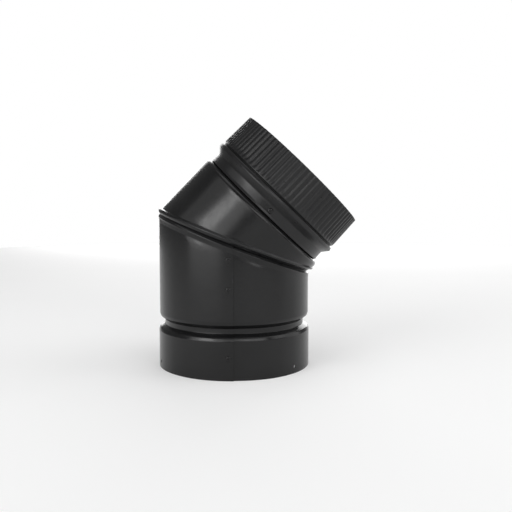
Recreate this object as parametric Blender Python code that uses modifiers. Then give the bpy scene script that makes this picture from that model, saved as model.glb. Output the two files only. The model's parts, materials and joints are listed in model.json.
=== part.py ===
"""Fixed 45 degree elbow, 44 as made, for a 6 inch stove pipe, of black sheet steel.

Two gores are cut on the mitre and locked by a folded seam. The lower one ends in a plain
socket behind a stop groove, the upper one in a neck that carries a crimped collar.
The elbow stands on its socket, +Z up, and bends towards +X.
"""

import math

import bmesh
import bpy
from mathutils import Matrix, Vector

MM = 0.001

# Sheet and clearances.
SHEET = 0.8 * MM
GAP = 0.3 * MM

# The two tubes and the corner where their axes meet.
BEND = math.radians(44)
MITRE = BEND / 2
TUBE_R = 76.2 * MM
CORNER_HEIGHT = 125.6 * MM
COLLAR_END = 100.5 * MM

# Socket end, outside: the plain socket, a crevice, a low ridge and the deep stop groove.
SOCKET_R = 77 * MM
SOCKET_TOP = 36.4 * MM
CREVICE_Z = 40.8 * MM
CREVICE_R = 74 * MM
RIDGE_Z = 43.1 * MM
RIDGE_R = 75.2 * MM
GROOVE_Z = 46.7 * MM
GROOVE_R = 70.8 * MM
GROOVE_TOP = 54.5 * MM

# Locked seam, measured across the mitre: in the mitre plane, and along its normal. It leans,
# so that it is higher at the front (-Y) and lower at the back than the mitre itself.
SHOULDER_LENGTH = 12 * MM
SHOULDER_IN = 1.0 * MM
FLANGE_OUT = 1.1 * MM
FOLD_OUT = 1.85 * MM
FOLD_RISE = 1.1 * MM
FOLD_CORNER = 0.5 * MM
FOLD_EDGE = 0.3 * MM
WALL_IN = 0.3 * MM
WALL_RISE = 2.2 * MM
SEAM_LEAN = 1.4 * MM

# Neck of the upper gore, along its axis from the corner.
NECK_START = 35.7 * MM
NECK_CLEAR = 0.5 * MM
NECK_ROOT = 43.1 * MM
NECK_END = 55.9 * MM
NECK_R = 70.8 * MM

# Collar, outside radii along the same axis.
BAND_START = 44.5 * MM
BAND_R = 71.9 * MM
BEAD_S = 60.5 * MM
BEAD_R = 77.1 * MM
BEAD_FOOT = 53.9 * MM
WAIST_S = 64.2 * MM
WAIST_R = 73.8 * MM
CRIMP_START = 66.9 * MM
CRIMP_FULL = 70.4 * MM
CRIMP_BASE_R = 75.5 * MM
RIM_R = 74.1 * MM
RIM_STRAIGHT = 1.6 * MM
CRIMPS = 80
CRIMP_DEPTH = 1.1 * MM

# Lap seams: the exposed edge of each gore's sheet, and how far it laps over the other end.
COLUMNS = 72
STEP = math.tau / COLUMNS
LAP_STEPS = 2
JOGGLE_STEPS = 14
LOWER_LAP_EDGE = math.radians(-85)
UPPER_LAP_EDGE = math.radians(95)

# Screw holes near the socket's rim.
SCREW_HOLES = 3
SCREW_HOLE_R = 1.5 * MM
SCREW_HEIGHT = 6.6 * MM
SCREW_ANGLE = math.radians(-35.4)

# Rivets.
HEAD_R = 2.5 * MM
HEAD_HEIGHT = 0.9 * MM
SHANK_R = 1.3 * MM
TAIL_R = 2.1 * MM
TAIL_HEIGHT = 0.8 * MM
RIVET_SIDES = 12
HOLE_SIDES = 16
DRILL_DEPTH = 8 * MM
LOWER_RIVET_HEIGHTS = (111.5 * MM, 84 * MM, 21 * MM)
UPPER_RIVET_STATIONS = (13 * MM, 29 * MM)
LAP_RIVET_INSET = math.radians(3.6)
COLLAR_RIVETS = 3
COLLAR_RIVET_STATION = 49.7 * MM
COLLAR_RIVET_ANGLE = math.radians(-84)

# The elbow's box is centred on the origin: its left edge is the seam's fold, its right the rim.
FOLD_REACH = (FOLD_OUT + SHEET / 2) * math.cos(MITRE)
FOLD_DROP = (FOLD_RISE - FOLD_CORNER) * math.sin(MITRE)
LEFT = -(TUBE_R - SHEET / 2 + FOLD_REACH + FOLD_DROP)
RIGHT = COLLAR_END * math.sin(BEND) + RIM_R * math.cos(BEND)
CORNER = Vector((-(LEFT + RIGHT) / 2, 0, CORNER_HEIGHT))

Y = Vector((0, 1, 0))
LOWER_AXIS = Vector((0, 0, 1))
LOWER_SIDE = Vector((1, 0, 0))
UPPER_AXIS = Vector((math.sin(BEND), 0, math.cos(BEND)))
UPPER_SIDE = Vector((math.cos(BEND), 0, -math.sin(BEND)))
MITRE_NORMAL = Vector((math.sin(MITRE), 0, math.cos(MITRE)))
MITRE_SIDE = Vector((math.cos(MITRE), 0, -math.sin(MITRE)))


def clear_scene():
    for obj in list(bpy.data.objects):
        bpy.data.objects.remove(obj, do_unlink=True)


def new_collection(name):
    collection = bpy.data.collections.new(name)
    bpy.context.scene.collection.children.link(collection)
    return collection


def painted_steel(name, base=(0.035, 0.035, 0.036), roughness=0.42):
    material = bpy.data.materials.new(name)
    material.use_nodes = True
    shader = material.node_tree.nodes["Principled BSDF"]
    shader.inputs["Base Color"].default_value = (*base, 1)
    shader.inputs["Roughness"].default_value = roughness
    shader.inputs["Metallic"].default_value = 0.3
    return material


def smoothstep(t):
    t = min(max(t, 0), 1)
    return t * t * (3 - 2 * t)


def tube_point(axis, side, theta, radius, distance):
    """A point of a tube round an axis through the corner, by angle, radius and distance."""
    across = side * math.cos(theta) + Y * math.sin(theta)
    return CORNER + across * radius + axis * distance


def seam_point(theta, out, rise):
    """A point near the seam: out from the tubes' ellipse in its plane, rise along its normal."""
    minor = TUBE_R - SHEET / 2
    major = minor / math.cos(MITRE)
    outward = Vector((minor * math.cos(theta), major * math.sin(theta))).normalized()
    along = major * math.cos(theta) + out * outward.x
    across = minor * math.sin(theta) + out * outward.y
    lifted = rise - SEAM_LEAN * math.sin(theta)
    return CORNER + MITRE_SIDE * along + Y * across + MITRE_NORMAL * lifted


def gore_angles(lap_edge):
    """Column angles from the hidden end of the sheet, once round, to its exposed edge."""
    return [lap_edge + STEP * k for k in range(-LAP_STEPS, COLUMNS + 1)]


def layer_shift(column):
    """How far the sheet lies inside its nominal radius where it passes under its own edge."""
    past_edge = (column - LAP_STEPS) / JOGGLE_STEPS
    return (SHEET + GAP) * (1 - smoothstep(past_edge))


def tube_row(angles, axis, side, radius, distance):
    """A row square to the tube's axis, given its outside radius."""
    return [
        tube_point(axis, side, theta, radius - SHEET / 2 - layer_shift(k), distance)
        for k, theta in enumerate(angles)
    ]


def shoulder_row(angles, axis, side, seam_out, part):
    """A row part of the way from the seam's wall to the full tube, whose length is limited
    at the throat of the upper gore by its neck."""
    sign = 1 if side == UPPER_SIDE else -1
    row = []
    for k, theta in enumerate(angles):
        middle = TUBE_R - SHEET / 2
        cut = middle * math.cos(theta) * math.tan(MITRE)
        room = NECK_START - NECK_CLEAR - cut if side == UPPER_SIDE else SHOULDER_LENGTH
        depth = WALL_RISE + part * (min(SHOULDER_LENGTH, room) - WALL_RISE)
        radius = middle - layer_shift(k)
        on_tube = tube_point(axis, side, theta, radius, sign * (cut + depth))
        by_seam = seam_point(theta, seam_out - layer_shift(k), sign * depth * math.cos(MITRE))
        row.append(by_seam.lerp(on_tube, smoothstep(part)))
    return row


def seam_row(angles, out, rise):
    """A row of the fold: here the sheet's hidden end is cut away, and its two edges butt."""
    butt = 1.2 * GAP / TUBE_R
    row = [None] * LAP_STEPS
    for k, theta in enumerate(angles[LAP_STEPS:]):
        row.append(seam_point(theta + (butt if k == 0 else 0), out, rise))
    return row


def add_sheet(name, rows, collection, material, closed=False):
    """A sheet through rows of points, thickened evenly about its middle."""
    mesh = bpy.data.meshes.new(name)
    bm = bmesh.new()
    grid = [[point and bm.verts.new(point) for point in row] for row in rows]
    for low, high in zip(grid, grid[1:]):
        ratio = len(high) // len(low)
        count = len(low) if closed else len(low) - 1
        for k in range(count):
            after = (k + 1) % len(low)
            top = [high[(ratio * k + j) % len(high)] for j in range(ratio, -1, -1)]
            corners = [low[k], low[after], *top]
            if all(corners):
                bm.faces.new(corners)
    bm.to_mesh(mesh)
    bm.free()
    obj = bpy.data.objects.new(name, mesh)
    collection.objects.link(obj)
    mesh.materials.append(material)
    solidify = obj.modifiers.new("sheet thickness", "SOLIDIFY")
    solidify.thickness = SHEET
    solidify.offset = 0
    solidify.use_even_offset = True
    mesh.shade_smooth()
    mesh.set_sharp_from_angle(angle=math.radians(40))
    return obj


def cut_holes(obj, cutters):
    """Drill holes through a sheet."""
    for cutter in cutters:
        boolean = obj.modifiers.new("hole", "BOOLEAN")
        boolean.operation = "DIFFERENCE"
        boolean.solver = "EXACT"
        boolean.object = cutter


def lower_profile():
    """Socket, crevice, ridge and stop groove, as heights and outside radii."""
    return [
        (0, SOCKET_R),
        (SOCKET_TOP, SOCKET_R),
        (CREVICE_Z - 1.9 * MM, SOCKET_R - 1 * MM),
        (CREVICE_Z, CREVICE_R),
        (RIDGE_Z, RIDGE_R),
        (RIDGE_Z + 1.5 * MM, RIDGE_R - 1.4 * MM),
        (GROOVE_Z, GROOVE_R),
        (GROOVE_Z + 2.3 * MM, GROOVE_R + 2.2 * MM),
        (GROOVE_TOP - 2.9 * MM, TUBE_R - 0.9 * MM),
        (GROOVE_TOP, TUBE_R),
    ]


def build_lower_gore(collection, material):
    angles = gore_angles(LOWER_LAP_EDGE)
    frame = (LOWER_AXIS, LOWER_SIDE)
    rows = [
        tube_row(angles, *frame, radius, height - CORNER_HEIGHT)
        for height, radius in lower_profile()
    ]
    for part in (1, 0.55, 0.1):
        rows.append(shoulder_row(angles, *frame, -SHOULDER_IN, part))
    bend = 0.5 * MM
    rows.append(seam_row(angles, -SHOULDER_IN, -bend))
    rows.append(seam_row(angles, bend - SHOULDER_IN, 0))
    rows.append(seam_row(angles, FLANGE_OUT, 0))
    return add_sheet("lower_gore", rows, collection, material)


def fold_section():
    """The upper gore's fold round the lower flange, from its free edge to its wall."""
    return [
        (FOLD_EDGE, -FOLD_RISE),
        (FOLD_OUT - FOLD_CORNER, -FOLD_RISE),
        (FOLD_OUT, FOLD_CORNER - FOLD_RISE),
        (FOLD_OUT, FOLD_RISE - FOLD_CORNER),
        (FOLD_OUT - FOLD_CORNER, FOLD_RISE),
        (WALL_IN, FOLD_RISE),
        (-WALL_IN, FOLD_RISE + 2 * WALL_IN),
    ]


def build_upper_gore(collection, material):
    angles = gore_angles(UPPER_LAP_EDGE)
    frame = (UPPER_AXIS, UPPER_SIDE)
    rows = [seam_row(angles, out, rise) for out, rise in fold_section()]
    for part in (0.4, 1):
        rows.append(shoulder_row(angles, *frame, -WALL_IN, part))
    drop = TUBE_R - NECK_R
    neck = [
        (NECK_START, TUBE_R),
        (NECK_START + 2 * MM, TUBE_R - 0.04 * drop),
        (NECK_START + 4.2 * MM, TUBE_R - 0.42 * drop),
        (NECK_ROOT - 1 * MM, TUBE_R - 0.86 * drop),
        (NECK_ROOT, NECK_R),
        (NECK_END, NECK_R),
    ]
    rows += [tube_row(angles, *frame, radius, station) for station, radius in neck]
    return add_sheet("upper_gore", rows, collection, material)


def ring_row(radius, station, columns, depth=0):
    """A closed row of the collar; with a depth it alternates between crest and valley."""
    row = []
    for k in range(columns):
        theta = math.tau * k / columns
        drop = depth / 2 * (1 - math.cos(CRIMPS * theta))
        across = radius - SHEET / 2 - drop
        row.append(tube_point(UPPER_AXIS, UPPER_SIDE, theta, across, station))
    return row


def build_collar(collection, material):
    plain = [
        (BAND_START, BAND_R),
        (BEAD_FOOT - 1.6 * MM, BAND_R),
        (BEAD_FOOT + 1.4 * MM, BAND_R + 1.6 * MM),
        (BEAD_S - 1.8 * MM, BEAD_R - 0.8 * MM),
        (BEAD_S, BEAD_R),
        (BEAD_S + 1.8 * MM, BEAD_R - 1.1 * MM),
        (WAIST_S, WAIST_R),
    ]
    rows = [ring_row(radius, station, CRIMPS) for station, radius in plain]
    rows.append(ring_row(CRIMP_BASE_R, CRIMP_START, 2 * CRIMPS))
    full_r = CRIMP_BASE_R - 0.15 * MM
    rows.append(ring_row(full_r, CRIMP_FULL, 2 * CRIMPS, CRIMP_DEPTH))
    for station in (COLLAR_END - RIM_STRAIGHT, COLLAR_END):
        rows.append(ring_row(RIM_R, station, 2 * CRIMPS, CRIMP_DEPTH))
    return add_sheet("crimped_collar", rows, collection, material, closed=True)


def rivet_mesh():
    """A turned rivet set through two sheets: low domed head, shank and flattened tail."""
    below = -(2 * SHEET + GAP) - GAP
    profile = [
        (0, GAP + HEAD_HEIGHT),
        (0.5 * HEAD_R, GAP + 0.9 * HEAD_HEIGHT),
        (0.85 * HEAD_R, GAP + 0.58 * HEAD_HEIGHT),
        (HEAD_R, GAP + 0.15 * HEAD_HEIGHT),
        (0.97 * HEAD_R, GAP),
        (SHANK_R, GAP),
        (SHANK_R, below),
        (TAIL_R, below),
        (TAIL_R, below - 0.6 * TAIL_HEIGHT),
        (0.6 * TAIL_R, below - TAIL_HEIGHT),
        (0, below - TAIL_HEIGHT),
    ]
    mesh = bpy.data.meshes.new("rivet")
    points = [(radius, 0, height) for radius, height in profile]
    mesh.from_pydata(points, [(k, k + 1) for k in range(len(points) - 1)], [])
    return mesh


def add_hole(name, place, radius, cutters):
    """A drill through the wall at a place whose local Z points out of the sheet."""
    bpy.ops.mesh.primitive_cylinder_add(vertices=HOLE_SIDES, radius=radius, depth=DRILL_DEPTH)
    hole = bpy.context.object
    hole.name = name
    hole.matrix_world = place
    hole.hide_render = True
    hole.display_type = "WIRE"
    for owner in list(hole.users_collection):
        owner.objects.unlink(hole)
    cutters.objects.link(hole)
    return hole


def add_rivet(name, mesh, place, collection, cutters):
    """One rivet at a place whose local Z points out of the sheet, and the hole it sits in."""
    obj = bpy.data.objects.new(name, mesh)
    obj.matrix_world = place
    collection.objects.link(obj)
    screw = obj.modifiers.new("turned", "SCREW")
    screw.axis = "Z"
    screw.steps = RIVET_SIDES
    screw.render_steps = RIVET_SIDES
    screw.use_merge_vertices = True
    screw.merge_threshold = 0.01 * MM
    screw.use_smooth_shade = True
    return add_hole(f"hole_{name}", place, SHANK_R + GAP, cutters)


def wall_place(axis, side, theta, radius, distance):
    """A place on a tube's wall whose local Z runs out of it."""
    out = side * math.cos(theta) + Y * math.sin(theta)
    turn = Matrix((axis.cross(out), axis, out)).transposed()
    return Matrix.Translation(tube_point(axis, side, theta, radius, distance)) @ turn.to_4x4()


def add_rivets(names, places, collection, cutters, material):
    mesh = rivet_mesh()
    mesh.materials.append(material)
    pairs = zip(names, places)
    return [add_rivet(name, mesh, place, collection, cutters) for name, place in pairs]


def numbered(stem, count):
    return [f"{stem}_{k + 1}" for k in range(count)]


def main():
    clear_scene()
    parts = new_collection("flue_elbow")
    cutters = new_collection("cutters")
    lower_gore = build_lower_gore(parts, painted_steel("lower_gore_black"))
    upper_gore = build_upper_gore(parts, painted_steel("upper_gore_black"))
    collar = build_collar(parts, painted_steel("collar_black", roughness=0.46))

    screw_holes = []
    for k, name in enumerate(numbered("screw_hole", SCREW_HOLES)):
        theta = SCREW_ANGLE + math.tau * k / SCREW_HOLES
        below_corner = SCREW_HEIGHT - CORNER_HEIGHT
        place = wall_place(LOWER_AXIS, LOWER_SIDE, theta, SOCKET_R, below_corner)
        screw_holes.append(add_hole(name, place, SCREW_HOLE_R, cutters))
    cut_holes(lower_gore, screw_holes)

    lower_angle = LOWER_LAP_EDGE - LAP_RIVET_INSET
    lower_places = []
    for height in LOWER_RIVET_HEIGHTS:
        radius = SOCKET_R if height < SOCKET_TOP else TUBE_R
        lower_places.append(
            wall_place(LOWER_AXIS, LOWER_SIDE, lower_angle, radius, height - CORNER_HEIGHT)
        )
    upper_angle = UPPER_LAP_EDGE - LAP_RIVET_INSET
    upper_places = [
        wall_place(UPPER_AXIS, UPPER_SIDE, upper_angle, TUBE_R, station)
        for station in UPPER_RIVET_STATIONS
    ]
    collar_places = [
        wall_place(
            UPPER_AXIS,
            UPPER_SIDE,
            COLLAR_RIVET_ANGLE + math.tau * k / COLLAR_RIVETS,
            BAND_R,
            COLLAR_RIVET_STATION,
        )
        for k in range(COLLAR_RIVETS)
    ]
    black = painted_steel("rivet_black", base=(0.03, 0.03, 0.031), roughness=0.4)
    groups = (
        ("lower_lap_rivet", lower_places, (lower_gore,)),
        ("upper_lap_rivet", upper_places, (upper_gore,)),
        ("collar_rivet", collar_places, (upper_gore, collar)),
    )
    for stem, places, sheets in groups:
        names = numbered(stem, len(places))
        holes = add_rivets(names, places, parts, cutters, black)
        for sheet in sheets:
            cut_holes(sheet, holes)


main()
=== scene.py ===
"""Looks of the black stove pipe elbow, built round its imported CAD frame.

The three sheets are made again from the frame's axes and diameters as finely rolled steel,
with rounded bends, lap seams, a pinched lock seam and pressed crimps; the rivets are made
again with their mandrel recess. Everything rides on the one body, root.
"""

import json
import math

import bmesh
import bpy
import numpy as np
from mathutils import Matrix, Vector


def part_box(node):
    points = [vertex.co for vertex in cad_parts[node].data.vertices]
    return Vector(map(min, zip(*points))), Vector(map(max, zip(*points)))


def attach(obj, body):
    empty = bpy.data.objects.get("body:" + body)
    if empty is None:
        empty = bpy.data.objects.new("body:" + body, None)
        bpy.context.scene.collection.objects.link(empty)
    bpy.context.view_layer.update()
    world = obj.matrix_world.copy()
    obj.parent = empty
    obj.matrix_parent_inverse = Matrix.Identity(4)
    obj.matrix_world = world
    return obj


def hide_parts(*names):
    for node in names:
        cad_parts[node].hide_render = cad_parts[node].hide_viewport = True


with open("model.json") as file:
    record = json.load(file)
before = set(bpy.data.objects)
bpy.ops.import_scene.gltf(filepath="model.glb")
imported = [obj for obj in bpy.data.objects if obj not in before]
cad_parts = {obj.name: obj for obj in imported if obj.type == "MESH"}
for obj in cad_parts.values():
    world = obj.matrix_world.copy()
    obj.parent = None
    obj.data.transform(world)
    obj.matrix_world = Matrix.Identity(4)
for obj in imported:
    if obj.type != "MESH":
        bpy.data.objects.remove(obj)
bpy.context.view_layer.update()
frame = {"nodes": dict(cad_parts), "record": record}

MM = 0.001

# Axes and rims, from the two mounts of the frame.
MOUNTS = {mount["name"]: mount for mount in frame["record"]["mounts"]}
SOCKET_RIM = MOUNTS["socket_rim"]["pos_m"]
MALE_RIM = MOUNTS["male_rim"]["pos_m"]
UPPER_AXIS = np.array(MOUNTS["male_rim"]["axis"])
BEND = math.atan2(UPPER_AXIS[0], UPPER_AXIS[2])
MITRE = BEND / 2
COLLAR_END = (MALE_RIM[0] - SOCKET_RIM[0]) / math.sin(BEND)
CORNER = np.array((SOCKET_RIM[0], 0, MALE_RIM[2] - COLLAR_END * math.cos(BEND)))

Y = np.array((0, 1, 0))
LOWER_AXIS = np.array((0, 0, 1))
LOWER_SIDE = np.array((1, 0, 0))
UPPER_SIDE = np.array((math.cos(BEND), 0, -math.sin(BEND)))
MITRE_NORMAL = np.array((math.sin(MITRE), 0, math.cos(MITRE)))
MITRE_SIDE = np.array((math.cos(MITRE), 0, -math.sin(MITRE)))

# Sheet and main radii, outside.
SHEET = 0.8 * MM
GAP = 0.3 * MM
SOCKET_STEP = 0.8 * MM
NECK_STEP = 5.4 * MM
SOCKET_R = SOCKET_RIM[1] + SHEET / 2
TUBE_R = SOCKET_R - SOCKET_STEP
NECK_R = TUBE_R - NECK_STEP
BAND_R = NECK_R + SHEET + GAP
RIM_R = MALE_RIM[1] + SHEET / 2

# The ellipse in the mitre plane where the middles of the two tubes' walls meet.
MINOR = TUBE_R - SHEET / 2
MAJOR = MINOR / math.cos(MITRE)

# Round the sheets: the laps, and the seam's folds butting under them.
COLUMNS = 360
LAP = math.radians(10)
JOGGLE = math.radians(26)
LOWER_LAP_EDGE = math.radians(-85)
UPPER_LAP_EDGE = math.radians(95)
BUTT = 0.5 * GAP / TUBE_R

# Rows along each gore between its seam and its other end.
LOWER_ROWS = 20
UPPER_ROWS = 16

# Faint waves left by rolling, in a different phase on each sheet.
WAVE_DEPTH = 0.05 * MM
WAVE_LENGTH = 31 * MM
LOWER_PHASE = 1.0
UPPER_PHASE = 4.0
COLLAR_PHASE = 2.5

# Edges: rounded where sharper than the first angle, shaded sharp past the second.
EDGE_ROUNDING = 0.18 * MM
ROUNDED_FROM = math.radians(60)
SHARP_FROM = math.radians(50)

# Lock seam: how far it lies off the mitre plane, and how soon it passes into the tubes.
LEAN_TO_FRONT = 1.4 * MM
LEAN_TO_THROAT = 1.5 * MM
FOLD_HALF = 0.6 * MM
FOLD_FADE = 3.4 * MM
FLANGE_START = -1.0 * MM
SHOULDER_LENGTH = 13 * MM

# Dents of the seaming rollers under the seam: angle and half width in degrees.
DENTS = ((-111, 8), (-69, 9), (58, 8), (104, 9), (150, 8))
DENT_DEPTH = 0.8 * MM
DENT_RISE = -7 * MM
DENT_LENGTH = 3 * MM

# At the throat the neck is so near that the bead is squeezed above this rise.
SQUEEZE_FROM = 0.8 * MM
SQUEEZE_LEAST = 0.05
THROAT_CLEAR = 0.25 * MM
NECK_START = 37.8 * MM

# Crimps.
CRIMPS = 80
CRIMP_COLUMNS = 8
CRIMP_START = 66.3 * MM
CRIMP_RAMP = 3.2 * MM
CRIMP_DEPTH = 1.1 * MM
CRIMP_SHARPNESS = 1.4

# Rivets, and screw holes in the socket.
RIVET_SHANK_R = 1.3 * MM
RIVET_STEPS = 40
SOCKET_END = 40 * MM
DRILL_DEPTH = 8 * MM
DRILL_SIDES = 32
SCREW_HOLES = 3
SCREW_HOLE_R = 1.5 * MM
SCREW_HEIGHT = 6.6 * MM
SCREW_ANGLE = math.radians(-35.4)

# Paint: base colours and roughnesses, and the depth and share of its orange peel.
SHEET_BLACK, SHEET_ROUGHNESS = (0.005, 0.005, 0.0052), 0.22
COLLAR_BLACK, COLLAR_ROUGHNESS = (0.007, 0.007, 0.0073), 0.3
PAINT_IOR = 1.38
PEEL_DEPTH = 0.03 * MM
PEEL_SHARE = 0.12

# Studio: the floor's greys, its own faint glow, the room's fill and the white backdrop.
FLOOR_R = 2.3
FLOOR_GREYS = (0.71, 0.71, 0.71), (0.74, 0.74, 0.74)
FLOOR_GLOW = 0.24
FILL_FROM_WORLD = 0.16
BACKDROP = 1.0
LIGHT_DISTANCE = 2.5
LIGHT_AIM_HEIGHT = 125 * MM

# Soft boxes: azimuth from the front, elevation, width and height in degrees, and radiance.
LIGHTS = (
    ("left_strip", -38, 5, 50, 17, 2.81),
    ("right_strip", 41, 5, 51, 17, 0.67),
    ("key_outer", -55, 22, 17, 17, 2.68),
    ("key", -38, 22, 18, 17, 7.4),
    ("key_inner", -22, 22, 17, 17, 2.32),
    ("front_fill", 1, 22, 32, 17, 1.77),
    ("right_panel", 32, 22, 34, 17, 3.17),
    ("right_edge", 78, 22, 20, 17, 2.01),
    ("left_high", -64, 40, 36, 17, 0.85),
    ("right_high", 72, 42, 34, 20, 0.67),
    ("right_top", 60, 62, 30, 24, 0.85),
    ("right_side", 105, 12, 32, 32, 1.22),
    ("right_rear", 110, 45, 50, 30, 1.04),
    ("rear_panel", 180, 12, 50, 30, 3.42),
    ("top_panel", 0, 88, 36, 36, 1.1),
)

# Camera: lens in millimetres, place in metres, pitch below level and turn in degrees.
CAMERA_LENS = 42.085
CAMERA_PLACE = (0.03766, -0.61394, 0.15474)
CAMERA_PITCH = 4.168
CAMERA_TURN = 3.5


def smoothstep(t):
    t = np.clip(t, 0, 1)
    return t * t * (3 - 2 * t)


def bent_outline(corners, steps=6):
    """Straight runs joined by arcs: corners are (a, b, bend radius) in millimetres."""
    points = [Vector(corner[:2]) for corner in corners]
    outline = [points[0]]
    for k in range(1, len(points) - 1):
        before = (points[k - 1] - points[k]).normalized()
        after = (points[k + 1] - points[k]).normalized()
        half = before.angle(after) / 2
        radius = corners[k][2]
        centre = points[k] + (before + after).normalized() * (radius / math.sin(half))
        start = points[k] + before * (radius / math.tan(half)) - centre
        end = points[k] + after * (radius / math.tan(half)) - centre
        turn = start.angle_signed(end)
        for j in range(steps + 1):
            outline.append(centre + Matrix.Rotation(-turn * j / steps, 2) @ start)
    outline.append(points[-1])
    return np.array(outline) * MM


def filled(outline, spacing):
    """The outline with its long straight runs cut into even steps."""
    made = [outline[0]]
    for a, b in zip(outline, outline[1:]):
        count = max(1, round(np.linalg.norm(b - a) / spacing))
        made += [a + (b - a) * j / count for j in range(1, count + 1)]
    return np.array(made)


def tube_grid(axis, side, theta, radius, distance):
    """Points of a tube round an axis through the corner, by angle, radius and distance."""
    across = np.cos(theta)[..., None] * side + np.sin(theta)[..., None] * Y
    return CORNER + radius[..., None] * across + distance[..., None] * axis


def seam_lift(theta):
    """How far the seam lies off the mitre plane: a little higher at the front and the throat."""
    return LEAN_TO_THROAT * np.cos(theta) - LEAN_TO_FRONT * np.sin(theta)


def seam_grid(theta, out, rise):
    """Points near the seam: out from the tubes' ellipse in its plane, rise off the plane."""
    outward = np.stack((MINOR * np.cos(theta), MAJOR * np.sin(theta)), -1)
    outward /= np.linalg.norm(outward, axis=-1)[..., None]
    along = MAJOR * np.cos(theta) + out * outward[..., 0]
    across = MINOR * np.sin(theta) + out * outward[..., 1]
    lifted = rise + seam_lift(theta)
    return (
        CORNER
        + along[..., None] * MITRE_SIDE
        + across[..., None] * Y
        + lifted[..., None] * MITRE_NORMAL
    )


def seam_distance(theta, side):
    """Where the seam crosses a tube's wall, along that tube's axis from the corner."""
    cut = MINOR * np.cos(theta) * math.tan(MITRE)
    lift = seam_lift(theta) / math.cos(MITRE)
    return (cut if side is UPPER_SIDE else -cut) + lift


def near_seam(theta, axis, side, shift, out, rise, waves):
    """Points of the fold, passing into the tube's own wall away from the seam."""
    by_seam = seam_grid(theta, out - shift, rise)
    distance = seam_distance(theta, side) + rise / math.cos(MITRE)
    on_tube = tube_grid(axis, side, theta, MINOR - shift + out + waves, distance)
    weight = smoothstep((abs(rise) - FOLD_HALF) / FOLD_FADE)
    weight = np.broadcast_to(weight, theta.shape)[:, None]
    return by_seam * (1 - weight) + on_tube * weight


def gore_angles(lap_edge):
    """Column angles from the hidden end of the sheet, once round, to its exposed edge."""
    step = math.tau / COLUMNS
    return lap_edge + step * np.arange(-round(LAP / step), COLUMNS + 1)


def layer_shift(theta, lap_edge):
    """How far the sheet lies inside its nominal radius where it passes under its own edge."""
    return (SHEET + GAP) * (1 - smoothstep((theta - lap_edge - 0.2 * LAP) / JOGGLE))


def rolled_waves(theta, distance, phase):
    """The faint flats and hollows that rolling leaves in thin sheet."""
    long = np.cos(5 * theta + phase) + 0.7 * np.cos(9 * theta - 2 * phase)
    short = 0.45 * np.cos(17 * theta + 3 * phase) + 0.3 * np.cos(29 * theta - phase)
    along = np.cos(distance / WAVE_LENGTH + 2 * theta + phase)
    return WAVE_DEPTH * (long + short + 0.6 * along)


def shoulder_dents(theta):
    """Where the seaming rollers pressed the lower shoulder in, as a share."""
    dents = 0
    for centre, width in DENTS:
        away = (theta - math.radians(centre) + math.pi) % math.tau - math.pi
        dents = dents + np.exp(-((away / math.radians(width)) ** 2))
    return dents


def add_sheet(name, middle, keep, closed):
    """A sheet of even thickness about a grid of points, with its edges rounded."""
    rows, columns = middle.shape[:2]
    bm = bmesh.new()
    verts = [
        [bm.verts.new(point) if kept else None for point, kept in zip(row, kept_row)]
        for row, kept_row in zip(middle, keep)
    ]
    for i in range(rows - 1):
        for k in range(columns if closed else columns - 1):
            after = (k + 1) % columns
            ring = (verts[i][k], verts[i][after], verts[i + 1][after], verts[i + 1][k])
            if all(ring):
                bm.faces.new(ring)
    mesh = bpy.data.meshes.new(name)
    bm.to_mesh(mesh)
    bm.free()
    obj = bpy.data.objects.new(name, mesh)
    bpy.context.scene.collection.objects.link(obj)
    solidify = obj.modifiers.new("sheet thickness", "SOLIDIFY")
    solidify.thickness = SHEET
    solidify.offset = 0
    bevel = obj.modifiers.new("rounded edges", "BEVEL")
    bevel.width = EDGE_ROUNDING
    bevel.segments = 2
    bevel.limit_method = "ANGLE"
    bevel.angle_limit = ROUNDED_FROM
    return obj


def drill(obj, places, radius):
    """Cut round holes whose axes are the local Z of the places."""
    bm = bmesh.new()
    for place in places:
        bmesh.ops.create_cone(
            bm, cap_ends=True, segments=DRILL_SIDES, radius1=radius, radius2=radius,
            depth=DRILL_DEPTH, matrix=place,
        )
    mesh = bpy.data.meshes.new("drill")
    bm.to_mesh(mesh)
    bm.free()
    cutter = bpy.data.objects.new("drill", mesh)
    bpy.context.scene.collection.objects.link(cutter)
    boolean = obj.modifiers.new("holes", "BOOLEAN")
    boolean.operation = "DIFFERENCE"
    boolean.solver = "EXACT"
    boolean.object = cutter
    return cutter


def settle(obj, cutters, material, nodes):
    """Apply the modifiers, paint the piece and let it stand for its CAD nodes."""
    depsgraph = bpy.context.evaluated_depsgraph_get()
    mesh = bpy.data.meshes.new_from_object(obj.evaluated_get(depsgraph))
    mesh.validate()
    obj.modifiers.clear()
    obj.data = mesh
    for cutter in cutters:
        bpy.data.objects.remove(cutter, do_unlink=True)
    mesh.materials.clear()
    mesh.materials.append(material)
    mesh.shade_smooth()
    mesh.set_sharp_from_angle(angle=SHARP_FROM)
    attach(obj, "root")
    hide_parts(*nodes)


def lower_outline():
    """Socket and rounded stop groove: heights and outside radii."""
    socket, tube = SOCKET_R / MM, TUBE_R / MM
    corners = [
        (0, socket, 0),
        (36.6, socket, 3),
        (39.3, socket - 1, 1.8),
        (42.4, socket - 6, 1.2),
        (47.6, tube - 5.3, 2.2),
        (51.4, tube - 0.8, 1.6),
        (54, tube, 3),
        (58, tube, 0),
    ]
    return filled(bent_outline(corners), 3 * MM)


def lower_fold_outline():
    """The lower gore's end: a swell, the recess, and the flare held inside the bead."""
    corners = [
        (0, -12, 0),
        (0, -7.5, 3),
        (0.35, -3.1, 0.8),
        (-1.75, 0.1, 0.4),
        (0, 2.3, 0),
    ]
    return filled(bent_outline(corners), 0.8 * MM)


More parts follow.
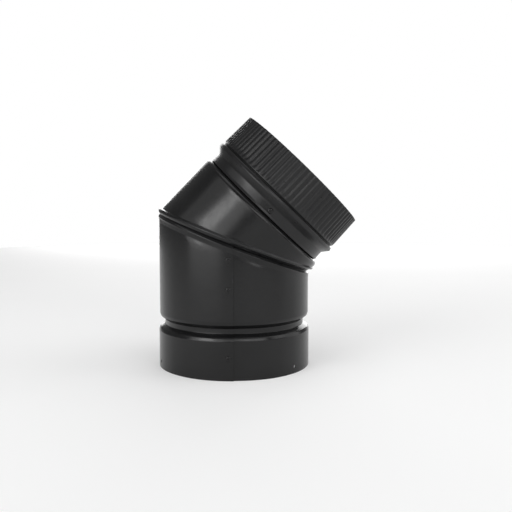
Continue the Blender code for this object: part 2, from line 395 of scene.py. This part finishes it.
def build_lower_gore():
    theta = gore_angles(LOWER_LAP_EDGE)
    shift = layer_shift(theta, LOWER_LAP_EDGE)
    outline = lower_outline()
    parts = []
    for height, radius in outline:
        radii = radius - SHEET / 2 - shift + rolled_waves(theta, height, LOWER_PHASE)
        distance = np.full_like(theta, height - CORNER[2])
        parts.append(tube_grid(LOWER_AXIS, LOWER_SIDE, theta, radii, distance))
    start = outline[-1][0] - CORNER[2]
    end = seam_distance(theta, LOWER_SIDE) - SHOULDER_LENGTH
    for j in range(1, LOWER_ROWS):
        distance = start + (end - start) * j / LOWER_ROWS
        radii = MINOR - shift + rolled_waves(theta, distance + CORNER[2], LOWER_PHASE)
        parts.append(tube_grid(LOWER_AXIS, LOWER_SIDE, theta, radii, distance))
    fold = lower_fold_outline()
    dents = shoulder_dents(theta)
    for out, rise in fold:
        hollow = DENT_DEPTH * dents * np.exp(-(((rise - DENT_RISE) / DENT_LENGTH) ** 2))
        height = CORNER[2] + seam_distance(theta, LOWER_SIDE) + rise
        waves = rolled_waves(theta, height, LOWER_PHASE)
        waves = waves * smoothstep(-rise / SHOULDER_LENGTH)
        parts.append(
            near_seam(theta, LOWER_AXIS, LOWER_SIDE, shift, out - hollow, rise, waves)
        )
    middle = np.array(parts)
    keep = np.ones(middle.shape[:2], bool)
    hidden = theta < LOWER_LAP_EDGE + BUTT
    flange = sum(rise > FLANGE_START for out, rise in fold)
    keep[-flange:, hidden] = False
    return add_sheet("lower_gore_sheet", middle, keep, False)


def fold_outline():
    """The upper gore's bead, from its free edge pressed into the recess up to its wall."""
    corners = [
        (-0.5, 0.3, 0),
        (1.85, 2.9, 0.5),
        (1.85, 3.8, 0.7),
        (0.1, 5.2, 0.7),
        (0, 6.4, 0),
    ]
    return filled(bent_outline(corners, 5), 0.7 * MM)


def neck_outline():
    """Rounded shoulder and neck of the upper gore: stations and outside radii."""
    tube, neck = TUBE_R / MM, NECK_R / MM
    corners = [
        (NECK_START / MM, tube, 0),
        (41.4, tube + 0.3, 4.5),
        (44.3, neck, 0.6),
        (55.9, neck, 0),
    ]
    return filled(bent_outline(corners), 2.5 * MM)


def build_upper_gore():
    theta = gore_angles(UPPER_LAP_EDGE)
    shift = layer_shift(theta, UPPER_LAP_EDGE)
    parts = []
    fold = fold_outline()
    seam = seam_distance(theta, UPPER_SIDE)
    top = fold[-1][1]
    room = (NECK_START - THROAT_CLEAR - seam) * math.cos(MITRE)
    squeeze = np.clip((room - SQUEEZE_FROM) / (top - SQUEEZE_FROM), SQUEEZE_LEAST, 1)
    for out, rise in fold:
        heights = np.full_like(theta, rise)
        if rise > SQUEEZE_FROM:
            heights = SQUEEZE_FROM + (rise - SQUEEZE_FROM) * squeeze
        parts.append(near_seam(theta, UPPER_AXIS, UPPER_SIDE, shift, out, heights, 0))
    start = seam + (SQUEEZE_FROM + (top - SQUEEZE_FROM) * squeeze) / math.cos(MITRE)
    for j in range(1, UPPER_ROWS):
        distance = start + (NECK_START - start) * j / UPPER_ROWS
        waves = rolled_waves(theta, distance, UPPER_PHASE) * smoothstep(j / 5)
        radii = MINOR - shift + waves
        parts.append(tube_grid(UPPER_AXIS, UPPER_SIDE, theta, radii, distance))
    for station, radius in neck_outline():
        waves = rolled_waves(theta, station, UPPER_PHASE) * (radius - NECK_R) / NECK_STEP
        radii = radius - SHEET / 2 - shift + waves
        distance = np.full_like(theta, station)
        parts.append(tube_grid(UPPER_AXIS, UPPER_SIDE, theta, radii, distance))
    middle = np.array(parts)
    keep = np.ones(middle.shape[:2], bool)
    keep[: len(fold), theta < UPPER_LAP_EDGE + BUTT] = False
    return add_sheet("upper_gore_sheet", middle, keep, False)


def collar_outline():
    """Band, bead, waist and the tapering crimped end: stations and outside radii."""
    band, rim = BAND_R / MM, RIM_R / MM
    end = COLLAR_END / MM
    corners = [
        (44.7, band + 0.8, 0),
        (46.6, band + 0.1, 3),
        (54.2, band, 3),
        (60.6, rim + 3.2, 1.5),
        (63.2, rim + 2.6, 0.9),
        (64.9, rim - 0.2, 0.6),
        (66.4, rim + 1.5, 0.9),
        (end - 1.6, rim, 6),
        (end, rim, 0),
    ]
    return filled(bent_outline(corners, 5), 2.4 * MM)


def build_collar():
    columns = CRIMPS * CRIMP_COLUMNS
    theta = math.tau * np.arange(columns) / columns
    valley = (0.5 - 0.5 * np.cos(CRIMPS * theta)) ** CRIMP_SHARPNESS
    parts = []
    for station, radius in collar_outline():
        drop = CRIMP_DEPTH * smoothstep((station - CRIMP_START) / CRIMP_RAMP) * valley
        waves = 0.5 * rolled_waves(theta, station, COLLAR_PHASE)
        radii = radius - SHEET / 2 - drop + waves
        distance = np.full_like(theta, station)
        parts.append(tube_grid(UPPER_AXIS, UPPER_SIDE, theta, radii, distance))
    middle = np.array(parts)
    return add_sheet("crimped_collar_sheet", middle, np.ones(middle.shape[:2], bool), True)


def rivet_outline():
    """Half section of a blind rivet: head with its mandrel recess, shank and upset tail."""
    below = -(2 * SHEET + 2 * GAP) / MM
    shank = RIVET_SHANK_R / MM
    corners = [
        (0, 0.35, 0),
        (0.85, 0.35, 0.1),
        (0.95, 1.17, 0.15),
        (1.9, 1.05, 1.1),
        (2.7, 0.35, 0.12),
        (2.6, 0.1, 0.05),
        (shank, 0.1, 0.05),
        (shank, below, 0.05),
        (2.1, below, 0.1),
        (2.0, below - 0.7, 0.4),
        (0, below - 0.8, 0),
    ]
    return bent_outline(corners, 4)


def turned(outline):
    """A closed solid turned about Z; the outline starts and ends on the axis."""
    bm = bmesh.new()
    rings = []
    for radius, height in outline:
        if radius == 0:
            rings.append([bm.verts.new((0, 0, height))] * RIVET_STEPS)
            continue
        angles = [math.tau * k / RIVET_STEPS for k in range(RIVET_STEPS)]
        points = [(radius * math.cos(a), radius * math.sin(a), height) for a in angles]
        rings.append([bm.verts.new(point) for point in points])
    for above, below in zip(rings, rings[1:]):
        for k in range(RIVET_STEPS):
            after = (k + 1) % RIVET_STEPS
            corners = (above[k], below[k], below[after], above[after])
            bm.faces.new(list(dict.fromkeys(corners)))
    return bm


def build_rivet(name, node, axis, surface_r, material):
    """A rivet at its CAD node's place, turned about the line out of the tube's wall."""
    low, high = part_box(node)
    centre = np.array((low + high) / 2)
    along = (centre - CORNER) @ axis
    out = centre - CORNER - along * axis
    out /= np.linalg.norm(out)
    place = place_at(axis, out, surface_r, along)
    bm = turned(rivet_outline())
    bm.transform(place)
    mesh = bpy.data.meshes.new(name)
    bm.to_mesh(mesh)
    bm.free()
    obj = bpy.data.objects.new(name, mesh)
    bpy.context.scene.collection.objects.link(obj)
    settle(obj, [], material, [node])
    return place


def place_at(axis, out, radius, along):
    """A frame on a tube's wall whose Z runs out of it."""
    turn = Matrix((Vector(np.cross(axis, out)), Vector(axis), Vector(out))).transposed()
    return Matrix.Translation(CORNER + out * radius + axis * along) @ turn.to_4x4()


class Nodes:
    """Short calls for building a material's node tree."""

    def __init__(self, name):
        self.material = bpy.data.materials.new(name)
        self.material.use_nodes = True
        self.tree = self.material.node_tree
        self.shader = self.tree.nodes["Principled BSDF"]

    def add(self, kind):
        return self.tree.nodes.new(kind)

    def link(self, output, target):
        self.tree.links.new(output, target)

    def noise(self, vector, scale, detail=2.0, roughness=0.5):
        node = self.add("ShaderNodeTexNoise")
        node.inputs["Scale"].default_value = scale
        node.inputs["Detail"].default_value = detail
        node.inputs["Roughness"].default_value = roughness
        self.link(vector, node.inputs["Vector"])
        return node.outputs["Fac"]

    def spread(self, value, from_low, from_high, to_low, to_high):
        node = self.add("ShaderNodeMapRange")
        ends = (from_low, from_high, to_low, to_high)
        for name, end in zip(("From Min", "From Max", "To Min", "To Max"), ends):
            node.inputs[name].default_value = end
        self.link(value, node.inputs["Value"])
        return node.outputs["Result"]

    def mix(self, factor, a, b):
        node = self.add("ShaderNodeMix")
        node.data_type = "RGBA"
        self.link(factor, node.inputs["Factor"])
        node.inputs["A"].default_value = (*a, 1)
        node.inputs["B"].default_value = (*b, 1)
        return node.outputs["Result"]


def satin_black(name, base, roughness):
    """Stove paint on sheet steel: orange peel, thin spots in the sheen and a little dust."""
    nodes = Nodes(name)
    where = nodes.add("ShaderNodeTexCoord").outputs["Object"]
    cloud = nodes.noise(where, 22, 4)
    fine = nodes.noise(where, 260, 3, 0.6)
    peel = nodes.noise(where, 900, 2)
    lighter = tuple(1.5 * value for value in base)
    shade = nodes.spread(cloud, 0.35, 0.7, 0, 1)
    colour = nodes.mix(shade, base, lighter)
    nodes.link(colour, nodes.shader.inputs["Base Color"])
    gloss = nodes.spread(fine, 0.3, 0.7, roughness - 0.03, roughness + 0.05)
    nodes.link(gloss, nodes.shader.inputs["Roughness"])
    nodes.shader.inputs["IOR"].default_value = PAINT_IOR
    bump = nodes.add("ShaderNodeBump")
    bump.inputs["Strength"].default_value = PEEL_SHARE
    bump.inputs["Distance"].default_value = PEEL_DEPTH
    nodes.link(peel, bump.inputs["Height"])
    nodes.link(bump.outputs["Normal"], nodes.shader.inputs["Normal"])
    return nodes.material


def build_elbow():
    sheet_paint = satin_black("satin_black_sheet", SHEET_BLACK, SHEET_ROUGHNESS)
    collar_paint = satin_black("satin_black_collar", COLLAR_BLACK, COLLAR_ROUGHNESS)
    rivet_paint = satin_black("satin_black_rivet", SHEET_BLACK, SHEET_ROUGHNESS)
    lower, upper, collar = build_lower_gore(), build_upper_gore(), build_collar()

    rivets = {"lower_lap": [], "upper_lap": [], "collar": []}
    for node in sorted(frame["nodes"]):
        stem = node.rsplit("_rivet_", 1)[0]
        if stem not in rivets:
            continue
        name = f"{node}_turned"
        if stem == "lower_lap":
            low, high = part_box(node)
            surface = SOCKET_R if high.z < SOCKET_END else TUBE_R
            place = build_rivet(name, node, LOWER_AXIS, surface, rivet_paint)
        elif stem == "upper_lap":
            place = build_rivet(name, node, UPPER_AXIS, TUBE_R, rivet_paint)
        else:
            place = build_rivet(name, node, UPPER_AXIS, BAND_R, rivet_paint)
        rivets[stem].append(place)

    screws = []
    for k in range(SCREW_HOLES):
        theta = SCREW_ANGLE + math.tau * k / SCREW_HOLES
        out = LOWER_SIDE * math.cos(theta) + Y * math.sin(theta)
        screws.append(place_at(LOWER_AXIS, out, SOCKET_R, SCREW_HEIGHT - CORNER[2]))
    rivet_hole = RIVET_SHANK_R + GAP
    cutters = [drill(lower, screws, SCREW_HOLE_R), drill(lower, rivets["lower_lap"], rivet_hole)]
    settle(lower, cutters, sheet_paint, ["lower_gore"])
    cutters = [drill(upper, rivets["upper_lap"] + rivets["collar"], rivet_hole)]
    settle(upper, cutters, sheet_paint, ["upper_gore"])
    cutters = [drill(collar, rivets["collar"], rivet_hole)]
    settle(collar, cutters, collar_paint, ["crimped_collar"])


def build_floor():
    bpy.ops.mesh.primitive_circle_add(radius=FLOOR_R, vertices=96, fill_type="NGON")
    floor = bpy.context.object
    floor.name = "studio_floor"
    nodes = Nodes("studio_paper")
    where = nodes.add("ShaderNodeTexCoord").outputs["Object"]
    grey = nodes.mix(nodes.noise(where, 3), *FLOOR_GREYS)
    nodes.link(grey, nodes.shader.inputs["Base Color"])
    nodes.shader.inputs["Roughness"].default_value = 0.9
    nodes.shader.inputs["Specular IOR Level"].default_value = 0.1
    nodes.shader.inputs["Emission Color"].default_value = (1, 1, 1, 1)
    nodes.shader.inputs["Emission Strength"].default_value = FLOOR_GLOW
    floor.data.materials.append(nodes.material)


def build_lights():
    """Soft boxes all round, facing the object; the camera doesn't see them."""
    middle = Vector((0, 0, LIGHT_AIM_HEIGHT))
    for name, azimuth, elevation, width, height, radiance in LIGHTS:
        a, e = math.radians(azimuth), math.radians(elevation)
        away = Vector((math.sin(a) * math.cos(e), -math.cos(a) * math.cos(e), math.sin(e)))
        light = bpy.data.lights.new(name, "AREA")
        light.shape = "RECTANGLE"
        light.size = 2 * LIGHT_DISTANCE * math.tan(math.radians(width) / 2)
        light.size_y = 2 * LIGHT_DISTANCE * math.tan(math.radians(height) / 2)
        light.energy = radiance * math.pi * light.size * light.size_y
        lamp = bpy.data.objects.new(name, light)
        lamp.location = middle + away * LIGHT_DISTANCE
        lamp.rotation_euler = away.to_track_quat("Z", "Y").to_euler()
        lamp.visible_camera = False
        bpy.context.scene.collection.objects.link(lamp)


def build_world():
    """A dim room whose backdrop is a lit white sweep."""
    world = bpy.data.worlds.new("studio")
    bpy.context.scene.world = world
    world.use_nodes = True
    tree = world.node_tree
    background = tree.nodes["Background"]
    background.inputs["Color"].default_value = (1, 1, 1, 1)
    seen = tree.nodes.new("ShaderNodeLightPath").outputs["Is Camera Ray"]
    strength = tree.nodes.new("ShaderNodeMapRange")
    strength.inputs["To Min"].default_value = FILL_FROM_WORLD
    strength.inputs["To Max"].default_value = BACKDROP
    tree.links.new(seen, strength.inputs["Value"])
    tree.links.new(strength.outputs["Result"], background.inputs["Strength"])


def build_camera():
    data = bpy.data.cameras.new("product_view")
    data.sensor_width = 36
    data.lens = CAMERA_LENS
    data.clip_start = 0.01
    camera = bpy.data.objects.new("product_view", data)
    camera.location = CAMERA_PLACE
    camera.rotation_euler = (math.radians(90 - CAMERA_PITCH), 0, math.radians(CAMERA_TURN))
    bpy.context.scene.collection.objects.link(camera)
    bpy.context.scene.camera = camera


build_elbow()
build_floor()
build_lights()
build_world()
build_camera()
bpy.context.scene.view_settings.view_transform = "Standard"
